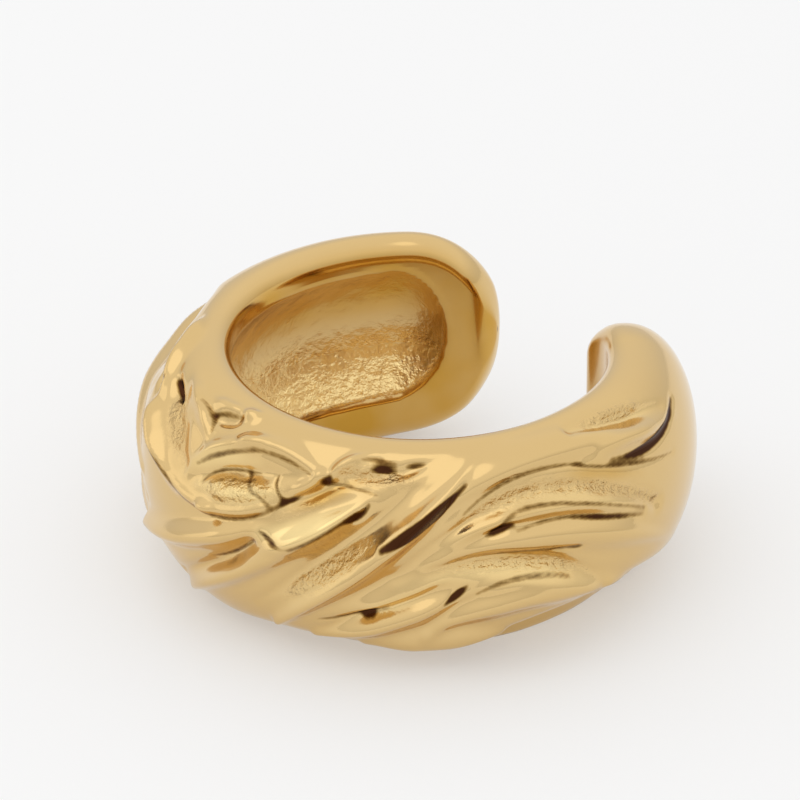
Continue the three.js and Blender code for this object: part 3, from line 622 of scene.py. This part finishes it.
def spun_ring(sizes, stations, section_points):
    """A plain tube round the Z axis, open at the gap, closed at both ends by a fan of faces."""
    deselect_all()
    middle = sizes.bore_radius + sizes.thickness / 2
    start, full = band_turn(sizes)
    bpy.ops.mesh.primitive_circle_add(
        vertices=section_points // SPLIT,
        radius=sizes.thickness / 2,
        location=(middle * math.cos(start), middle * math.sin(start), sizes.height / 2),
        rotation=(math.pi / 2, 0, start),
    )
    ring = bpy.context.object
    bpy.ops.object.mode_set(mode="EDIT")
    bpy.ops.mesh.select_all(action="SELECT")
    bpy.ops.mesh.spin(
        steps=(stations - 1) // SPLIT,
        angle=full,
        center=(0, 0, 0),
        axis=(0, 0, 1),
    )
    bpy.ops.mesh.select_all(action="SELECT")
    bpy.ops.mesh.subdivide(number_cuts=SPLIT - 1)
    bpy.ops.mesh.select_all(action="SELECT")
    bpy.ops.mesh.fill_holes(sides=0)
    bpy.ops.mesh.select_face_by_sides(number=4, type="GREATER", extend=False)
    bpy.ops.mesh.poke()
    bpy.ops.object.mode_set(mode="OBJECT")
    bpy.ops.object.transform_apply(location=True, rotation=True, scale=True)
    return ring


def grid_places(ring, sizes, stations, section_points):
    """Station and place in its section of each vertex of a spun ring, and which close an end."""
    co = np.empty(len(ring.data.vertices) * 3)
    ring.data.vertices.foreach_get("co", co)
    x, y, z = co.reshape(-1, 3).T
    start, full = band_turn(sizes)
    half_step = full / (stations - 1) / 2
    turned = (start - np.arctan2(y, x) + half_step) % (2 * math.pi) - half_step
    station = np.rint(turned / full * (stations - 1)).astype(int)
    across = np.hypot(x, y) - sizes.bore_radius - sizes.thickness / 2
    up = z - sizes.height / 2
    around = (np.arctan2(up, across) + math.pi / 2) % (2 * math.pi)
    place = np.rint(around / (2 * math.pi) * section_points).astype(int) % section_points
    pole = np.hypot(across, up) < sizes.thickness / 4  # in the middle of the tube, at an end
    if station.max() != stations - 1 or len(station) != stations * section_points + 2:
        raise RuntimeError("the spun ring doesn't have the stations and ends it should")
    return station, place, pole


class EARCUFF_OT_add_cuff(bpy.types.Operator):
    """Model the cast ring: a spun tube whose skin is then drawn into its form and relief"""

    bl_idname = "earcuff.add_cuff"
    bl_label = "Add Cast Ring"
    bl_options = {"REGISTER", "UNDO"}

    def execute(self, context):
        sizes = context.scene.ear_cuff_sizes
        finish = context.scene.ear_cuff_finish
        band = Band(sizes)
        points, attributes = band.skin()
        stations, section_points = points.shape[:2]
        ring = spun_ring(sizes, stations, section_points)
        station, place, pole = grid_places(ring, sizes, stations, section_points)
        co = points[station, place]
        ends = np.array(band.tips())
        co[pole] = ends[(station[pole] > stations / 2).astype(int)]
        ring.data.vertices.foreach_set("co", co.ravel())
        for name, values in attributes.items():
            values = values[station, place]
            values[pole] = 0
            layer = ring.data.attributes.new(name, "FLOAT", "POINT")
            layer.data.foreach_set("value", values)
        cast_grain(ring, finish)
        bpy.ops.object.mode_set(mode="EDIT")
        bpy.ops.mesh.select_all(action="SELECT")
        bpy.ops.mesh.normals_make_consistent(inside=False)
        bpy.ops.object.mode_set(mode="OBJECT")
        bpy.ops.object.shade_smooth()
        ring.name = ring.data.name = "cast_cuff"
        ring.data.materials.append(gold_plate(finish))
        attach(ring, "root")
        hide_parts("cuff")
        return {"FINISHED"}


def cast_grain(ring, finish):
    """Lifts the vertices of the rough places into the lumps that the cast skin has there."""
    count = len(ring.data.vertices)
    rough, co, normal = np.empty(count), np.empty(count * 3), np.empty(count * 3)
    ring.data.attributes["rough"].data.foreach_get("value", rough)
    ring.data.vertices.foreach_get("co", co)
    ring.data.vertex_normals.foreach_get("vector", normal)
    co, normal = co.reshape(-1, 3), normal.reshape(-1, 3)
    scale = LUMP * finish.grain
    lump = np.zeros(count)
    for i in np.where((rough > LEAST_ROUGH) & (co[:, 2] > 0))[0]:
        lump[i] = noise.noise(Vector(co[i] / scale))
    co += normal * (lump * rough * finish.lump_height)[:, None]
    ring.data.vertices.foreach_set("co", co.ravel())
    ring.data.update()


def node(tree, kind, inputs=None, **settings):
    """A shader node with its settings, and its inputs set or linked by name or number."""
    made = tree.nodes.new(kind)
    for key, value in settings.items():
        setattr(made, key, value)
    for key, value in (inputs or {}).items():
        if isinstance(value, bpy.types.NodeSocket):
            tree.links.new(value, made.inputs[key])
        else:
            made.inputs[key].default_value = value
    return made


def mixed(tree, factor, first, second):
    """Colour socket: first where the factor is 0, second where it is 1."""
    made = node(tree, "ShaderNodeMix", {"Factor": factor, 6: first, 7: second}, data_type="RGBA")
    return made.outputs[2]


def own_value(tree, name):
    """Value socket: what the mesh keeps under this name at each of its points."""
    return node(tree, "ShaderNodeAttribute", attribute_name=name).outputs["Fac"]


def worked(tree, operation, first, second):
    """Value socket: the result of a sum with two values."""
    return node(tree, "ShaderNodeMath", {0: first, 1: second}, operation=operation).outputs[0]


def ranged(tree, value, old, new, **settings):
    """Value socket: the value, moved from its old range to the new one and kept inside it."""
    inputs = {
        "Value": value,
        "From Min": old[0],
        "From Max": old[1],
        "To Min": new[0],
        "To Max": new[1],
    }
    return node(tree, "ShaderNodeMapRange", inputs, **settings).outputs["Result"]


def gold_plate(finish):
    """Plated brass: polished on the folds, rough where the cast skin is left, dark with painted
    shade in the creases.

    The mesh says how rough the plate is, how far inside a crease, and how deep or pale in colour,
    that is where painted shade and painted highlights lie.
    """
    material = bpy.data.materials.new("gold_plate")
    material.use_nodes = True
    tree = material.node_tree
    shader = tree.nodes["Principled BSDF"]
    place = node(tree, "ShaderNodeTexCoord").outputs["Object"]
    rough = own_value(tree, "rough")
    crevice = own_value(tree, "crevice")
    shade_and_highlight = own_value(tree, "shade_and_highlight")
    grains = node(
        tree,
        "ShaderNodeTexNoise",
        {
            "Vector": place,
            "Scale": 1 / finish.grain,
            "Detail": GRAIN_DETAIL,
            "Roughness": GRAIN_ROUGHNESS,
        },
    ).outputs["Fac"]
    cloud = node(
        tree,
        "ShaderNodeTexNoise",
        {"Vector": place, "Scale": CLOUD_SCALE / finish.grain, "Detail": CLOUD_DETAIL},
    ).outputs["Fac"]
    # Painted shade and painted highlights, broken into clouds.
    shade_and_highlight = worked(tree, "MULTIPLY", shade_and_highlight, ranged(tree, cloud, NOISE_RANGE, (CLOUD_LEAST, 1)))
    wobble = ranged(tree, grains, NOISE_RANGE, (-WOBBLE, WOBBLE))
    # Painted shade in the creases: the dark grows towards the inside of a crease.
    dark = worked(tree, "ADD", crevice, wobble)
    dark = ranged(tree, dark, (CREASE_SHADE_START, 0), (0, 1), interpolation_type="SMOOTHSTEP")
    deeper = worked(tree, "MAXIMUM", shade_and_highlight, dark)
    paler = worked(tree, "MULTIPLY", shade_and_highlight, -1)
    body = mixed(tree, deeper, (*finish.gold, 1), (*finish.deep, 1))
    body = mixed(tree, paler, body, (*finish.pale, 1))
    body = mixed(tree, dark, body, (*finish.crevice, 1))
    tree.links.new(body, shader.inputs["Base Color"])
    shader.inputs["Metallic"].default_value = 1.0
    gloss = ranged(tree, rough, (0, 1), (finish.polished, finish.cast))
    tree.links.new(gloss, shader.inputs["Roughness"])
    coarse = worked(tree, "POWER", rough, COARSE_POWER)
    coarse = worked(tree, "MULTIPLY", grains, coarse)
    bump = node(
        tree,
        "ShaderNodeBump",
        {"Height": coarse, "Strength": 1.0, "Distance": finish.grain_height},
    ).outputs["Normal"]
    tree.links.new(bump, shader.inputs["Normal"])
    return material


def metres(place):
    """A place that is given in millimetres."""
    return Vector([x * MM for x in place])


def soft_light(lamp):
    """A round soft lamp that looks at the ring and isn't seen itself."""
    deselect_all()
    place = metres(lamp.place)
    bpy.ops.object.light_add(type="AREA", location=place)
    light = bpy.context.object
    light.name = lamp.name
    light.data.shape = "DISK"
    light.data.size = lamp.width * MM
    light.data.energy = lamp.power
    light.rotation_euler = (metres(LAMP_AIM) - place).to_track_quat("-Z", "Y").to_euler()
    light.visible_camera = False


def add_floor(studio):
    """A wide pale floor that glows a little, so that it stays white all round the ring."""
    deselect_all()
    bpy.ops.mesh.primitive_plane_add(size=FLOOR_SIZE)
    floor = bpy.context.object
    floor.name = "floor"
    material = bpy.data.materials.new("pale_floor")
    material.use_nodes = True
    shader = material.node_tree.nodes["Principled BSDF"]
    shader.inputs["Base Color"].default_value = (*studio.floor_colour, 1)
    shader.inputs["Roughness"].default_value = FLOOR_ROUGHNESS
    shader.inputs["Emission Color"].default_value = (1, 1, 1, 1)
    shader.inputs["Emission Strength"].default_value = studio.floor_glow
    floor.data.materials.append(material)


def surround(studio):
    """Even white light from all round, a little weaker near the floor."""
    world = bpy.data.worlds.new("surround")
    world.use_nodes = True
    tree = world.node_tree
    background = tree.nodes["Background"]
    background.inputs["Color"].default_value = (1, 1, 1, 1)
    up = node(tree, "ShaderNodeTexCoord").outputs["Generated"]
    up = node(tree, "ShaderNodeSeparateXYZ", {"Vector": up}).outputs["Z"]
    glow = ranged(tree, up, (0, OVERHEAD), (studio.low_surround, studio.surround))
    tree.links.new(glow, background.inputs["Strength"])
    return world


class EARCUFF_OT_add_studio(bpy.types.Operator):
    """Add the pale floor, the soft lights and the camera"""

    bl_idname = "earcuff.add_studio"
    bl_label = "Add Studio"
    bl_options = {"REGISTER", "UNDO"}

    def execute(self, context):
        studio = context.scene.ear_cuff_studio
        add_floor(studio)
        for lamp in LAMPS:
            soft_light(lamp)
        context.scene.world = surround(studio)
        context.scene.view_settings.view_transform = "Standard"
        add_camera(context, studio)
        return {"FINISHED"}


def add_camera(context, studio):
    """A long lens that looks down on the ring from the front."""
    back = Vector((0, -math.cos(studio.elevation), math.sin(studio.elevation)))
    deselect_all()
    bpy.ops.object.camera_add(location=metres(PICTURE_MIDDLE) + back * studio.distance)
    camera = context.object
    camera.name = "camera"
    camera.rotation_euler = (-back).to_track_quat("-Z", "Y").to_euler()
    camera.data.lens = camera.data.sensor_width * studio.distance / studio.picture_width
    camera.data.clip_start = NEAR_CLIP
    camera.data.clip_end = FAR_CLIP
    context.scene.camera = camera


class EARCUFF_PT_panel(bpy.types.Panel):
    """Lists the sizes and the operators of the ear cuff"""

    bl_label = "Ear Cuff"
    bl_idname = "EARCUFF_PT_panel"
    bl_space_type = "VIEW_3D"
    bl_region_type = "UI"
    bl_category = "Ear Cuff"

    def draw(self, context):
        for group, label in (
            (context.scene.ear_cuff_sizes, "Sizes"),
            (context.scene.ear_cuff_finish, "Finish"),
            (context.scene.ear_cuff_studio, "Studio"),
        ):
            box = self.layout.box()
            box.label(text=label)
            for name in group.__annotations__:
                box.prop(group, name)
        self.layout.operator(EARCUFF_OT_add_cuff.bl_idname)
        self.layout.operator(EARCUFF_OT_add_studio.bl_idname)


CLASSES = (
    CuffSizes,
    CuffFinish,
    StudioSettings,
    EARCUFF_OT_add_cuff,
    EARCUFF_OT_add_studio,
    EARCUFF_PT_panel,
)


def register():
    for cls in CLASSES:
        bpy.utils.register_class(cls)
    bpy.types.Scene.ear_cuff_sizes = bpy.props.PointerProperty(type=CuffSizes)
    bpy.types.Scene.ear_cuff_finish = bpy.props.PointerProperty(type=CuffFinish)
    bpy.types.Scene.ear_cuff_studio = bpy.props.PointerProperty(type=StudioSettings)


def unregister():
    del bpy.types.Scene.ear_cuff_studio
    del bpy.types.Scene.ear_cuff_finish
    del bpy.types.Scene.ear_cuff_sizes
    for cls in reversed(CLASSES):
        bpy.utils.unregister_class(cls)


def main():
    register()
    bpy.ops.earcuff.add_cuff()
    bpy.ops.earcuff.add_studio()


if __name__ == "__main__":
    main()
